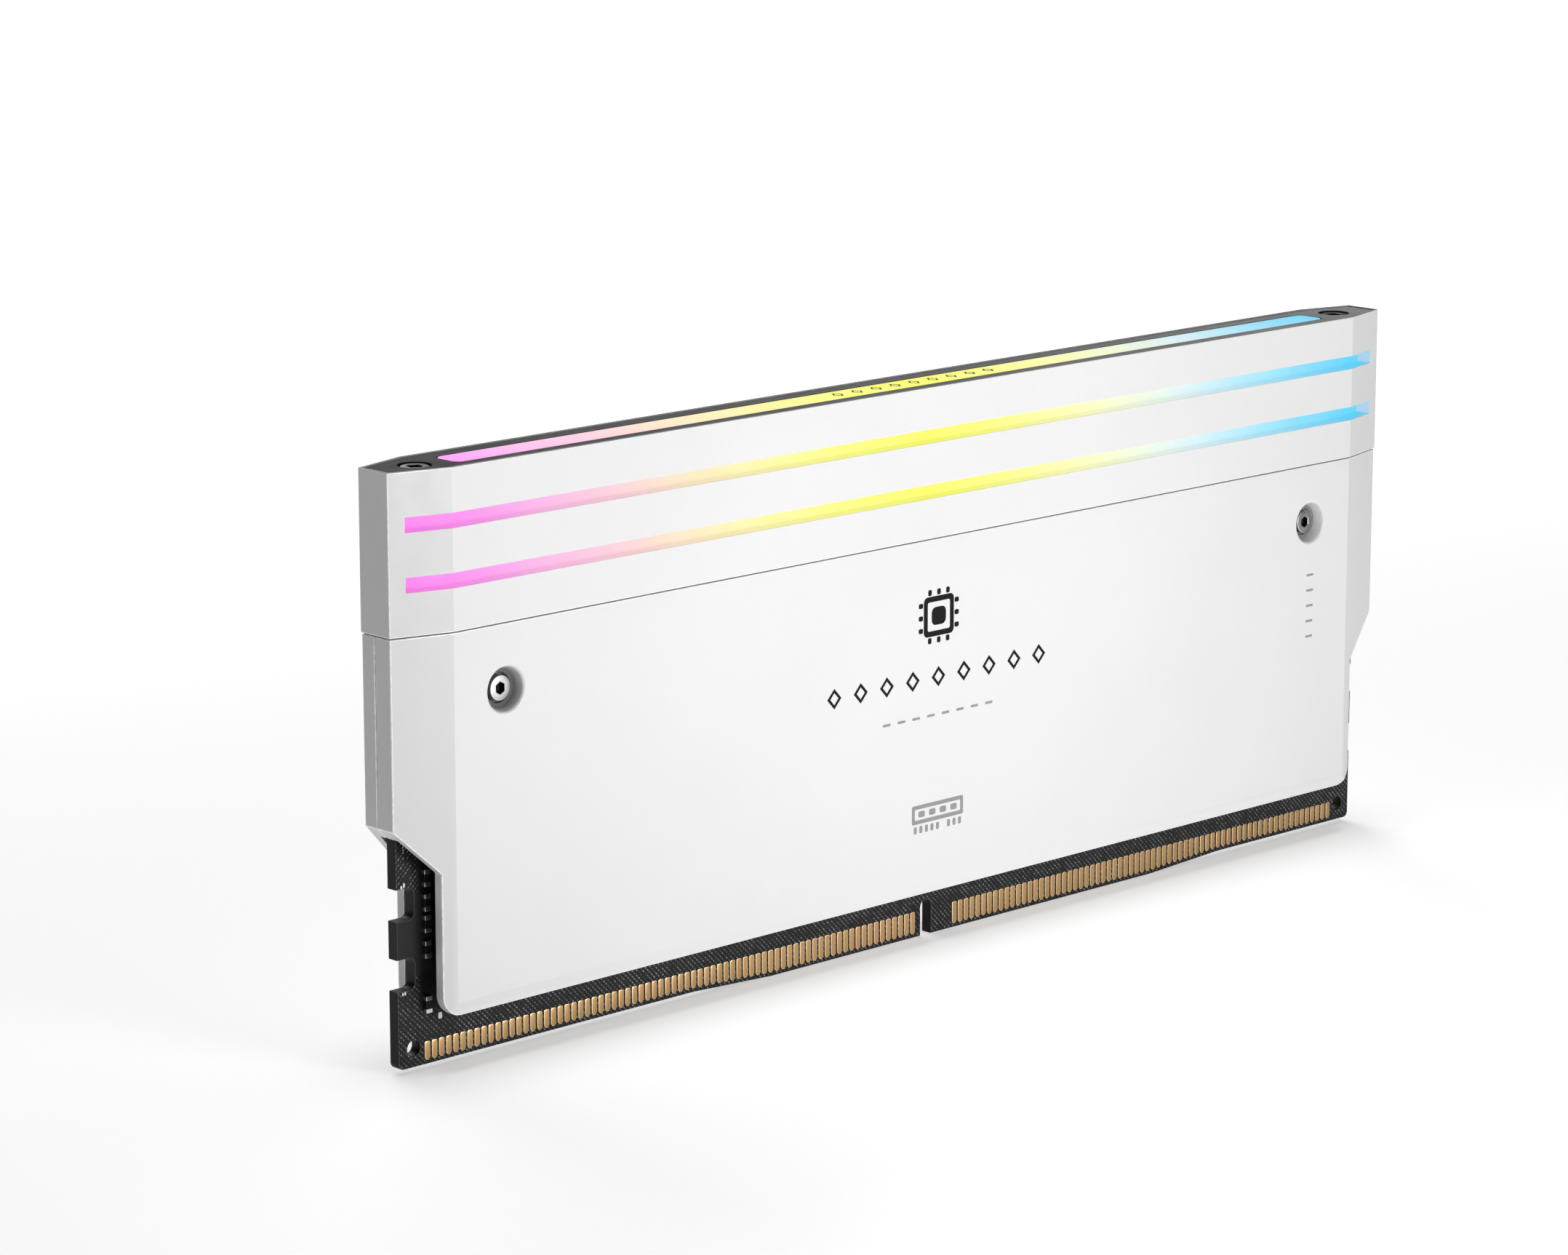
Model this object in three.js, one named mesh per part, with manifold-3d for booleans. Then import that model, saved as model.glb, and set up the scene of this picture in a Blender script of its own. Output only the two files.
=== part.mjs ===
// A desktop memory module: a card-edge circuit board between two white heat spreaders,
// with a light bar screwed on top. Millimetres. +X along the module, the front faces -Y,
// +Z up, and the origin is the middle of the contact edge, which goes into the socket.
import * as THREE from "three";
import { mergeVertices } from "three/addons/utils/BufferGeometryUtils.js";
import Module from "manifold-3d";

const wasm = await Module();
wasm.setup();

// Circuit board, of the standard size for a 288-contact module
const BOARD_LENGTH = 133.35;
const BOARD_HEIGHT = 31.25;
const BOARD_THICKNESS = 1.27;
const BOARD_FRONT = -BOARD_THICKNESS / 2;
const BOARD_REAR = BOARD_THICKNESS / 2;
const BOARD_CORNER_RADIUS = 0.6;
// The contact edge is deepest in the middle and steps up by ramps towards both ends
const EDGE_STEP = 0.5;
const LEFT_RAMP = { outer: -30.2, inner: -19.8 };
const RIGHT_RAMP = { outer: 45.3, inner: 34.8 };
const KEY_SLOT = { x: 1.45, width: 1.5, top: 3.65 };
const LATCH_NOTCH = { depth: 2.05, height: 3, radius: 0.7, middles: [15.93, 9.36] };
const CORNER_HOLE = { x: 64.9, z: 2.27, radius: 0.78 };

// Edge contacts
const CONTACT_PITCH = 0.85;
const CONTACT_WIDTH = 0.63;
const CONTACT_THICKNESS = 0.05;
const CONTACT_TOP = 2.65;
const CONTACT_EDGE_GAP = 0.4;
const CONTACT_TIE_HEIGHT = 0.12;
const LEFT_CONTACTS = { first: -63.325, count: 75 };
const RIGHT_CONTACTS = { first: 5.525, count: 69 };

// Parts on the board
const MEMORY_CHIP = { width: 10, height: 11, thickness: 1.1, z: 16.5 };
const MEMORY_CHIPS_EACH_SIDE = 4;
const MEMORY_CHIP_FIRST_X = 13.5;
const MEMORY_CHIP_PITCH = 12;
const POWER_CHIP = { width: 5, height: 5, thickness: 0.85, x: 0, z: 22.5 };
const INDUCTOR = { width: 2.5, height: 2, thickness: 1, x: 4.4, z: 27 };
const HUB_CHIP = { width: 3, height: 2, thickness: 0.75, x: 0, z: 13.5 };
const RESISTOR = { width: 0.7, height: 1.6, thickness: 0.45, x: -63.35 };
const RESISTOR_HEIGHTS = [18.1, 15.8, 13.8, 11.4, 6.2];

// Outer form: an octagon seen from above, with flat long faces, tapers and narrow ends
const BAR_PLAN = { halfLength: 68.09, flatHalfLength: 62.03, halfDepth: 3.68, endHalfDepth: 2.02 };
const CASING_INSET = 0.08;
const TOTAL_HEIGHT = 56;
const BAR_BOTTOM = 41.05;
const CASING_TOP = 40.93;
const CASING_BOTTOM = 5.3;
const SHOULDER_TOP = 23.25;
const SHOULDER_BOTTOM = 18.85;
const SKIRT_HALF_LENGTH = 63.46;
const SKIRT_CORNER_RADIUS = 2;
const BOTTOM_BEVEL = { height: 1.34, depth: 0.3 };

// Inside of the casing
const CASING_WALL = 1;
const CASING_END_WALL = 1.1;
const PARTING_PLANE = 0.2;
const PARTING_GAP = 0.08;
const PAD_HALF_LENGTH = 58;
const PAD_BOTTOM = 8.5;
const PAD_GAP = 0.03;
const FRONT_PAD_TOP = 30;
const REAR_PAD_TOP = 25.5;
const RAIL = { gap: 0.2, bottom: 38.1, top: 40.8 };

// Casing screws, which go in from the front
const CASING_SCREW = { x: 55.9, z: 34.8, headRadius: 1.18, headHeight: 0.8, shaftRadius: 0.7 };
const CASING_SCREW_SINK = 0.78;
const CASING_SCREW_TIP = 1.9;
const HEAD_OVERLAP = 0.1; // how far a shaft runs up into its own head
const CASING_HEX_ACROSS = 1.04;
const RECESS = { radius: 2.17, floorRadius: 1.78, depth: 1.1, boreRadius: 1.45 };
const FRONT_BOSS_RADIUS = 2.9;
const REAR_BOSS_RADIUS = 2;
const BOSS_ROOT = 0.5; // how far a boss runs into the wall it stands on

// Light bar
const END_WALL = 1.6;
const SIDE_WALL = 1.6;
const RIM = 0.3;
const PLATE_THICKNESS = 1.3;
const PLATE_SINK = 0.1;
const FIT_GAP = 0.05;
const SLOTS = [{ bottom: 45.04, top: 46.42 }, { bottom: 50.5, top: 51.87 }];
const LENS = { halfLength: 59.6, halfDepth: 1.65, cornerRadius: 0.8 };
const GUIDE_BOTTOM = 44.1;
const LED_BOARD = { halfLength: 61, halfDepth: 1.9, bottom: 42.1, top: 43.1 };
const LED = { size: 2, height: 0.7, count: 11, pitch: 11.5 };
const TOP_SCREW = { x: 63.2, headRadius: 1.34, headHeight: 0.6, shaftRadius: 0.8, tip: 38.6 };
const TOP_SCREW_SINK = 0.12;
const TOP_SCREW_RECESS_RADIUS = 1.54;
const TOP_SCREW_CLEARANCE_RADIUS = 1.1;
const TOP_HEX_ACROSS = 1.4;
const RISER = { width: 10, front: 0.95, rear: 1.75, bottom: 28 };
const SOCKET = { width: 12, rear: 2.2, bottom: 26.5, top: 30.5 };

const SCREW_GAP = 0.15;
const SEAT_GAP = 0.03;
const HEX_DEPTH = 0.45;
const ARC_SEGMENTS = 6;
const ROUND_SEGMENTS = 40;
const FAR = 80; // reaches past every face of the module
const PLATE_TOP = TOTAL_HEIGHT - PLATE_SINK;
const PLATE_BOTTOM = PLATE_TOP - PLATE_THICKNESS;
const CASING_FACE = BAR_PLAN.halfDepth - CASING_INSET;
const POCKET_FACE = CASING_FACE - CASING_WALL;
const POCKET_INSET = CASING_INSET + CASING_WALL;
const POCKET_END_INSET = CASING_INSET + CASING_END_WALL;

const FINISH = {
  white: { color: 0xf0f0f0, roughness: 0.45, metalness: 0.1 },
  plate: { color: 0x5a5a5c, roughness: 0.5, metalness: 0.4 },
  screw: { color: 0xc8c8c8, roughness: 0.3, metalness: 0.9 },
  darkScrew: { color: 0x3a3a3c, roughness: 0.4, metalness: 0.8 },
  board: { color: 0x1c1c1e, roughness: 0.6, metalness: 0 },
  gold: { color: 0xc49a5a, roughness: 0.35, metalness: 0.9 },
  chip: { color: 0x252528, roughness: 0.7, metalness: 0 },
  ceramic: { color: 0x3c3a38, roughness: 0.5, metalness: 0.2 },
  pad: { color: 0x9a9ca4, roughness: 0.9, metalness: 0 },
  aluminium: { color: 0xb4b6ba, roughness: 0.4, metalness: 0.9 },
  diffuser: { color: 0xf4ecf4, roughness: 0.5, metalness: 0 },
  led: { color: 0xfff8e0, roughness: 0.3, metalness: 0 },
  connector: { color: 0xe6e2d6, roughness: 0.6, metalness: 0 },
};

const module = new THREE.Group();

// Geometry to closed solid and back

function solid(geometry) {
  geometry.deleteAttribute("normal");
  geometry.deleteAttribute("uv");
  const merged = mergeVertices(geometry);
  return new wasm.Manifold(new wasm.Mesh({
    numProp: 3,
    vertProperties: merged.attributes.position.array,
    triVerts: new Uint32Array(merged.index.array),
  }));
}

function addPiece(name, finish, body) {
  const mesh = body.getMesh();
  const geometry = new THREE.BufferGeometry();
  geometry.setAttribute("position", new THREE.BufferAttribute(mesh.vertProperties, 3));
  geometry.setIndex(new THREE.BufferAttribute(mesh.triVerts, 1));
  geometry.computeVertexNormals();
  const piece = new THREE.Mesh(geometry, new THREE.MeshStandardMaterial(FINISH[finish]));
  piece.name = name;
  module.add(piece);
}

// Outlines

function polygon(points) {
  return new THREE.Shape(points.map(([u, v]) => new THREE.Vector2(u, v)));
}

function rectangle(uLow, vLow, uHigh, vHigh) {
  return polygon([[uLow, vLow], [uHigh, vLow], [uHigh, vHigh], [uLow, vHigh]]);
}

function roundedRectangle(u, v, width, height, radius) {
  const shape = new THREE.Shape();
  const du = width / 2 - radius;
  const dv = height / 2 - radius;
  shape.absarc(u + du, v + dv, radius, 0, Math.PI / 2);
  shape.absarc(u - du, v + dv, radius, Math.PI / 2, Math.PI);
  shape.absarc(u - du, v - dv, radius, Math.PI, Math.PI * 1.5);
  shape.absarc(u + du, v - dv, radius, Math.PI * 1.5, Math.PI * 2);
  return shape;
}

// The octagonal plan, moved inwards by the same distance on its long faces and tapers,
// with its ends moved inwards by endInset
function octagon(inset, endInset) {
  const { halfLength, flatHalfLength, halfDepth, endHalfDepth } = BAR_PLAN;
  const slope = (halfDepth - endHalfDepth) / (halfLength - flatHalfLength);
  const taperInset = inset * Math.hypot(1, slope);
  const xEnd = halfLength - endInset;
  const yEnd = halfDepth - slope * (xEnd - flatHalfLength) - taperInset;
  const yFlat = halfDepth - inset;
  const xFlat = flatHalfLength - (taperInset - inset) / slope;
  return polygon([
    [-xEnd, -yEnd], [-xFlat, -yFlat], [xFlat, -yFlat], [xEnd, -yEnd],
    [xEnd, yEnd], [xFlat, yFlat], [-xFlat, yFlat], [-xEnd, yEnd],
  ]);
}

// Prisms along the three axes

function extrude(shape, length) {
  return new THREE.ExtrudeGeometry(shape, {
    depth: length, bevelEnabled: false, curveSegments: ARC_SEGMENTS,
  });
}

// An outline in X and Y, raised from zLow to zHigh
function alongZ(shape, zLow, zHigh) {
  return solid(extrude(shape, zHigh - zLow).translate(0, 0, zLow));
}

// An outline in X and Z, running from yFront back to yRear
function alongY(shape, yFront, yRear) {
  const geometry = extrude(shape, yRear - yFront).rotateX(Math.PI / 2);
  return solid(geometry.translate(0, yRear, 0));
}

// An outline in Y and Z, running from xLow to xHigh
function alongX(shape, xLow, xHigh) {
  const turn = new THREE.Matrix4().makeBasis(
    new THREE.Vector3(0, 1, 0), new THREE.Vector3(0, 0, 1), new THREE.Vector3(1, 0, 0),
  );
  return solid(extrude(shape, xHigh - xLow).applyMatrix4(turn).translate(xLow, 0, 0));
}

function box(xLow, yLow, zLow, xHigh, yHigh, zHigh) {
  return alongZ(rectangle(xLow, yLow, xHigh, yHigh), zLow, zHigh);
}

function rodAlongY(radius, x, z, yFront, yRear, segments = ROUND_SEGMENTS) {
  const geometry = new THREE.CylinderGeometry(radius, radius, yRear - yFront, segments);
  return solid(geometry.translate(x, (yFront + yRear) / 2, z));
}

function coneAlongY(frontRadius, rearRadius, x, z, yFront, yRear) {
  const length = yRear - yFront;
  const geometry = new THREE.CylinderGeometry(rearRadius, frontRadius, length, ROUND_SEGMENTS);
  return solid(geometry.translate(x, (yFront + yRear) / 2, z));
}

function rodAlongZ(radius, x, zLow, zHigh, segments = ROUND_SEGMENTS) {
  const geometry = new THREE.CylinderGeometry(radius, radius, zHigh - zLow, segments);
  return solid(geometry.rotateX(Math.PI / 2).translate(x, 0, (zLow + zHigh) / 2));
}

function hexRadius(acrossFlats) {
  return acrossFlats / Math.sqrt(3);
}

// Circuit board

function boardOutline() {
  const half = BOARD_LENGTH / 2;
  const radius = BOARD_CORNER_RADIUS;
  const shape = new THREE.Shape();
  shape.moveTo(half, BOARD_HEIGHT);
  shape.lineTo(-half, BOARD_HEIGHT);
  shape.absarc(-half + radius, EDGE_STEP + radius, radius, Math.PI, Math.PI * 1.5);
  shape.lineTo(LEFT_RAMP.outer, EDGE_STEP);
  shape.lineTo(LEFT_RAMP.inner, 0);
  shape.lineTo(RIGHT_RAMP.inner, 0);
  shape.lineTo(RIGHT_RAMP.outer, EDGE_STEP);
  shape.absarc(half - radius, EDGE_STEP + radius, radius, Math.PI * 1.5, Math.PI * 2);
  return shape;
}

function keySlotOutline() {
  const radius = KEY_SLOT.width / 2;
  const shape = new THREE.Shape();
  shape.moveTo(KEY_SLOT.x - radius, -1);
  shape.lineTo(KEY_SLOT.x + radius, -1);
  shape.absarc(KEY_SLOT.x, KEY_SLOT.top - radius, radius, 0, Math.PI);
  return shape;
}

function cutBoardEnd(board, side) {
  const { depth, height, radius, middles } = LATCH_NOTCH;
  for (const z of middles) {
    const notch = roundedRectangle(side * BOARD_LENGTH / 2, z, 2 * depth, height, radius);
    board = board.subtract(alongY(notch, -1, 1));
  }
  const hole = rodAlongY(CORNER_HOLE.radius, side * CORNER_HOLE.x, CORNER_HOLE.z, -1, 1, 24);
  return board.subtract(hole);
}

function addCircuitBoard() {
  let board = alongY(boardOutline(), BOARD_FRONT, BOARD_REAR);
  board = board.subtract(alongY(keySlotOutline(), -1, 1));
  board = cutBoardEnd(board, -1);
  board = cutBoardEnd(board, 1);
  addPiece("circuit_board", "board", board);
}

// Height of the contact edge at x
function edgeHeight(x) {
  const ramp = x < 0 ? LEFT_RAMP : RIGHT_RAMP;
  const way = (x - ramp.inner) / (ramp.outer - ramp.inner);
  return EDGE_STEP * THREE.MathUtils.clamp(way, 0, 1);
}

// One row of contacts as a comb: its fingers, joined along their upper ends
function contactCombOutline({ first, count }) {
  const last = first + (count - 1) * CONTACT_PITCH;
  const half = CONTACT_WIDTH / 2;
  const tieTop = CONTACT_TOP + CONTACT_TIE_HEIGHT;
  const points = [[last + half, tieTop], [first - half, tieTop]];
  for (let i = 0; i < count; i += 1) {
    const x = first + i * CONTACT_PITCH;
    const bottom = edgeHeight(x) + CONTACT_EDGE_GAP;
    points.push([x - half, CONTACT_TOP], [x - half, bottom]);
    points.push([x + half, bottom], [x + half, CONTACT_TOP]);
  }
  return polygon(points);
}

function addContacts() {
  const rows = { left: LEFT_CONTACTS, right: RIGHT_CONTACTS };
  for (const [side, row] of Object.entries(rows)) {
    const outline = contactCombOutline(row);
    const front = alongY(outline, BOARD_FRONT - CONTACT_THICKNESS, BOARD_FRONT);
    const rear = alongY(outline, BOARD_REAR, BOARD_REAR + CONTACT_THICKNESS);
    addPiece(`contacts_front_${side}`, "gold", front);
    addPiece(`contacts_rear_${side}`, "gold", rear);
  }
}

// A block that stands on the front face of the board
function frontPart(part, x, z) {
  const dx = part.width / 2;
  const dz = part.height / 2;
  const outline = rectangle(x - dx, z - dz, x + dx, z + dz);
  return alongY(outline, BOARD_FRONT - part.thickness, BOARD_FRONT);
}

function addMemoryChips() {
  for (let i = 0; i < 2 * MEMORY_CHIPS_EACH_SIDE; i += 1) {
    const side = i < MEMORY_CHIPS_EACH_SIDE ? -1 : 1;
    const place = side < 0 ? MEMORY_CHIPS_EACH_SIDE - 1 - i : i - MEMORY_CHIPS_EACH_SIDE;
    const x = side * (MEMORY_CHIP_FIRST_X + place * MEMORY_CHIP_PITCH);
    addPiece(`memory_chip_${i + 1}`, "chip", frontPart(MEMORY_CHIP, x, MEMORY_CHIP.z));
  }
}

function addSmallBoardParts() {
  addPiece("power_chip", "chip", frontPart(POWER_CHIP, POWER_CHIP.x, POWER_CHIP.z));
  addPiece("hub_chip", "chip", frontPart(HUB_CHIP, HUB_CHIP.x, HUB_CHIP.z));
  addPiece("inductor_left", "ceramic", frontPart(INDUCTOR, -INDUCTOR.x, INDUCTOR.z));
  addPiece("inductor_right", "ceramic", frontPart(INDUCTOR, INDUCTOR.x, INDUCTOR.z));
  RESISTOR_HEIGHTS.forEach((z, i) => {
    addPiece(`chip_resistor_${i + 1}`, "ceramic", frontPart(RESISTOR, RESISTOR.x, z));
  });
}

// Heat spreaders

function casingOutline() {
  const half = BAR_PLAN.halfLength - CASING_INSET;
  const skirt = SKIRT_HALF_LENGTH;
  const radius = SKIRT_CORNER_RADIUS;
  const shape = new THREE.Shape();
  shape.moveTo(half, CASING_TOP);
  shape.lineTo(-half, CASING_TOP);
  shape.lineTo(-half, SHOULDER_TOP);
  shape.lineTo(-skirt, SHOULDER_BOTTOM);
  shape.absarc(-skirt + radius, CASING_BOTTOM + radius, radius, Math.PI, Math.PI * 1.5);
  shape.absarc(skirt - radius, CASING_BOTTOM + radius, radius, Math.PI * 1.5, Math.PI * 2);
  shape.lineTo(skirt, SHOULDER_BOTTOM);
  shape.lineTo(half, SHOULDER_TOP);
  return shape;
}

// The section across the casing, bevelled along its bottom edges
function casingSection() {
  const { height, depth } = BOTTOM_BEVEL;
  const bevelTop = CASING_BOTTOM + height;
  return polygon([
    [-CASING_FACE, bevelTop], [-CASING_FACE + depth, CASING_BOTTOM],
    [CASING_FACE - depth, CASING_BOTTOM], [CASING_FACE, bevelTop],
    [CASING_FACE, CASING_TOP], [-CASING_FACE, CASING_TOP],
  ]);
}

function casingShell() {
  const outer = alongY(casingOutline(), -FAR, FAR)
    .intersect(alongX(casingSection(), -FAR, FAR))
    .intersect(alongZ(octagon(CASING_INSET, CASING_INSET), 0, CASING_TOP));
  return outer.subtract(alongZ(octagon(POCKET_INSET, POCKET_END_INSET), 0, FAR));
}

function addFrontSpreader(shell) {
  const rearEdge = PARTING_PLANE - PARTING_GAP / 2;
  const headSeat = -CASING_FACE + CASING_SCREW_SINK + CASING_SCREW.headHeight;
  let spreader = shell.intersect(box(-FAR, -FAR, 0, FAR, rearEdge, FAR));
  for (const x of [-CASING_SCREW.x, CASING_SCREW.x]) {
    const z = CASING_SCREW.z;
    const recessFloor = -CASING_FACE + RECESS.depth;
    const recessMouth = -CASING_FACE - RECESS.depth;
    const mouthRadius = 2 * RECESS.radius - RECESS.floorRadius;
    spreader = spreader
      .add(rodAlongY(FRONT_BOSS_RADIUS, x, z, -POCKET_FACE - BOSS_ROOT, rearEdge))
      .subtract(coneAlongY(mouthRadius, RECESS.floorRadius, x, z, recessMouth, recessFloor))
      .subtract(rodAlongY(RECESS.boreRadius, x, z, -FAR, headSeat))
      .subtract(rodAlongY(CASING_SCREW.shaftRadius + SCREW_GAP, x, z, -FAR, FAR));
  }
  addPiece("front_spreader", "white", spreader);
}

function addRearSpreader(shell) {
  const frontEdge = PARTING_PLANE + PARTING_GAP / 2;
  let spreader = shell.intersect(box(-FAR, frontEdge, 0, FAR, FAR, FAR));
  for (const x of [-CASING_SCREW.x, CASING_SCREW.x]) {
    const z = CASING_SCREW.z;
    const holeEnd = CASING_SCREW_TIP + SCREW_GAP;
    spreader = spreader
      .add(rodAlongY(REAR_BOSS_RADIUS, x, z, frontEdge, POCKET_FACE + BOSS_ROOT))
      .subtract(rodAlongY(CASING_SCREW.shaftRadius + SCREW_GAP, x, z, -1, holeEnd));
  }
  addPiece("rear_spreader", "white", spreader);
}

function addThermalPads() {
  const spreaderFace = POCKET_FACE - PAD_GAP;
  const chipFace = -BOARD_FRONT + MEMORY_CHIP.thickness + PAD_GAP;
  const boardFace = BOARD_REAR + PAD_GAP;
  const length = PAD_HALF_LENGTH;
  addPiece("thermal_pad_front", "pad",
    box(-length, -spreaderFace, PAD_BOTTOM, length, -chipFace, FRONT_PAD_TOP));
  addPiece("thermal_pad_rear", "pad",
    box(-length, boardFace, PAD_BOTTOM, length, spreaderFace, REAR_PAD_TOP));
}

function addCasingScrews() {
  const { x, z, headRadius, headHeight, shaftRadius } = CASING_SCREW;
  const headFace = -CASING_FACE + CASING_SCREW_SINK;
  const names = { casing_screw_left: -x, casing_screw_right: x };
  for (const [name, at] of Object.entries(names)) {
    const headBack = headFace + headHeight - SEAT_GAP;
    const head = rodAlongY(headRadius, at, z, headFace, headBack, 32);
    const shaft = rodAlongY(shaftRadius, at, z, headBack - HEAD_OVERLAP, CASING_SCREW_TIP, 16);
    const hex = rodAlongY(hexRadius(CASING_HEX_ACROSS), at, z, headFace - 1, headFace + HEX_DEPTH, 6);
    addPiece(name, "screw", head.add(shaft).subtract(hex));
  }
}

// The rail clamped between the spreaders, which the light bar screws into
function addTopRail() {
  const { gap, bottom, top } = RAIL;
  const riserWay = box(-SOCKET.width / 2, RISER.front - gap, 0, SOCKET.width / 2, FAR, FAR);
  let rail = alongZ(octagon(POCKET_INSET + gap, POCKET_END_INSET + gap), bottom, top).subtract(riserWay);
  for (const x of [-TOP_SCREW.x, TOP_SCREW.x]) {
    rail = rail.subtract(rodAlongZ(TOP_SCREW.shaftRadius + SCREW_GAP, x, 0, FAR, 20));
  }
  addPiece("top_rail", "aluminium", rail);
}

// Light bar

function addLightBarShell() {
  let shell = alongZ(octagon(0, 0), BAR_BOTTOM, TOTAL_HEIGHT)
    .subtract(alongZ(octagon(SIDE_WALL, END_WALL), 0, FAR))
    .subtract(alongZ(octagon(RIM, RIM), PLATE_BOTTOM, FAR));
  const slotEnd = BAR_PLAN.halfLength - END_WALL;
  for (const { bottom, top } of SLOTS) {
    shell = shell.subtract(box(-slotEnd, -FAR, bottom, slotEnd, FAR, top));
  }
  addPiece("light_bar_shell", "white", shell);
}

function addTopPlate() {
  const inset = RIM + FIT_GAP;
  const { halfLength, halfDepth, cornerRadius } = LENS;
  const length = 2 * (halfLength + FIT_GAP);
  const window = roundedRectangle(0, 0, length, 2 * (halfDepth + FIT_GAP), cornerRadius);
  let plate = alongZ(octagon(inset, inset), PLATE_BOTTOM, PLATE_TOP).subtract(alongZ(window, 0, FAR));
  const headSeat = PLATE_TOP - TOP_SCREW_SINK - TOP_SCREW.headHeight;
  for (const x of [-TOP_SCREW.x, TOP_SCREW.x]) {
    plate = plate
      .subtract(rodAlongZ(TOP_SCREW_RECESS_RADIUS, x, headSeat, FAR))
      .subtract(rodAlongZ(TOP_SCREW.shaftRadius + SCREW_GAP, x, 0, FAR, 20));
  }
  addPiece("top_plate", "plate", plate);
}

function addTopLens() {
  const outline = roundedRectangle(0, 0, 2 * LENS.halfLength, 2 * LENS.halfDepth, LENS.cornerRadius);
  addPiece("top_lens", "diffuser", alongZ(outline, PLATE_BOTTOM, PLATE_TOP));
}

// The translucent block behind the side slots and under the top lens
function addLightGuide() {
  const outline = octagon(SIDE_WALL + FIT_GAP, END_WALL + FIT_GAP);
  let guide = alongZ(outline, GUIDE_BOTTOM, PLATE_BOTTOM - FIT_GAP);
  for (const x of [-TOP_SCREW.x, TOP_SCREW.x]) {
    guide = guide.subtract(rodAlongZ(TOP_SCREW_CLEARANCE_RADIUS, x, 0, FAR, 24));
  }
  addPiece("light_guide", "diffuser", guide);
}

function addLedBoard() {
  const { halfLength, halfDepth, bottom, top } = LED_BOARD;
  addPiece("led_board", "board", box(-halfLength, -halfDepth, bottom, halfLength, halfDepth, top));
  const first = -LED.pitch * (LED.count - 1) / 2;
  const half = LED.size / 2;
  for (let i = 0; i < LED.count; i += 1) {
    const x = first + i * LED.pitch;
    addPiece(`led_${i + 1}`, "led", box(x - half, -half, top, x + half, half, top + LED.height));
  }
}

// The card that carries power and data up to the LED board, and its socket on the circuit board
function addRiser() {
  const { front, rear, bottom } = RISER;
  const half = RISER.width / 2;
  const socketHalf = SOCKET.width / 2;
  const gap = 2 * FIT_GAP;
  addPiece("led_riser_card", "board", box(-half, front, bottom, half, rear, LED_BOARD.bottom));
  const opening = box(-half - gap, front - gap, bottom - gap, half + gap, rear + gap, FAR);
  const socket = box(-socketHalf, BOARD_REAR, SOCKET.bottom, socketHalf, SOCKET.rear, SOCKET.top);
  addPiece("led_riser_socket", "connector", socket.subtract(opening));
}

function addTopScrews() {
  const { x, headRadius, headHeight, shaftRadius, tip } = TOP_SCREW;
  const headTop = PLATE_TOP - TOP_SCREW_SINK;
  const headBottom = headTop - headHeight + SEAT_GAP;
  const names = { top_screw_left: -x, top_screw_right: x };
  for (const [name, at] of Object.entries(names)) {
    const head = rodAlongZ(headRadius, at, headBottom, headTop, 32);
    const shaft = rodAlongZ(shaftRadius, at, tip, headBottom + HEAD_OVERLAP, 16);
    const hex = rodAlongZ(hexRadius(TOP_HEX_ACROSS), at, headTop - HEX_DEPTH, FAR, 6);
    addPiece(name, "darkScrew", head.add(shaft).subtract(hex));
  }
}

addCircuitBoard();
addContacts();
addMemoryChips();
addSmallBoardParts();
const shell = casingShell();
addFrontSpreader(shell);
addRearSpreader(shell);
addThermalPads();
addCasingScrews();
addTopRail();
addLightBarShell();
addTopPlate();
addTopLens();
addLightGuide();
addLedBoard();
addRiser();
addTopScrews();

export default module;
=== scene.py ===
import math

import bmesh
import bpy
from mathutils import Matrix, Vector


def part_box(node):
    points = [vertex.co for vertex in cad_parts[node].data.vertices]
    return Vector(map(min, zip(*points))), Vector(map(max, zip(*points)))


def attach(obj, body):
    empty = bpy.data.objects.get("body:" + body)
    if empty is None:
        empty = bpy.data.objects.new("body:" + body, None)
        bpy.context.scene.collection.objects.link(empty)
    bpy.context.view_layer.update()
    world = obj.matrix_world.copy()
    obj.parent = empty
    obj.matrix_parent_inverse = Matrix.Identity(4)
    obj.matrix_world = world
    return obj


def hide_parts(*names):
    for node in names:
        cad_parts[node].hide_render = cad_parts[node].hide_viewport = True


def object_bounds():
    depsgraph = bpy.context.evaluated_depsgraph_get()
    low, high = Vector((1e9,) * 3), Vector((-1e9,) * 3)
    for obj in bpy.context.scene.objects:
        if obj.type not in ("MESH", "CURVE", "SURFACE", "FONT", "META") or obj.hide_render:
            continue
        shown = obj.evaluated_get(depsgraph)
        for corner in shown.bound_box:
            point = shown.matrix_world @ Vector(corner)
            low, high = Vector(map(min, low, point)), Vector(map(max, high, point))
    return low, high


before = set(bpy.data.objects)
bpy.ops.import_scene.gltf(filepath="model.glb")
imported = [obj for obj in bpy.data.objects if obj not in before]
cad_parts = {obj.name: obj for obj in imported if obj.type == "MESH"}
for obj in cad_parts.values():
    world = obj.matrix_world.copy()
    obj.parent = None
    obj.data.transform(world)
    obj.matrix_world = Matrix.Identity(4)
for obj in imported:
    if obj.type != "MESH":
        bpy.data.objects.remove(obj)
CAD_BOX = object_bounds()

# The module stands along X, its front faces -Y and its contacts are at the
# bottom. Blender works in metres. Lengths below are in millimetres, and angles
# in degrees, where nothing else is said.

MM = 0.001
SCENE = bpy.context.scene
BODY = "root"

# Faces that other things are placed from
FRONT_FACE = -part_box("front_spreader")[0].y / MM
LENS_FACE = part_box("top_lens")[1].z / MM
PLATE_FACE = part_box("top_plate")[1].z / MM
BOARD_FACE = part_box("circuit_board")[1].y / MM

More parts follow.
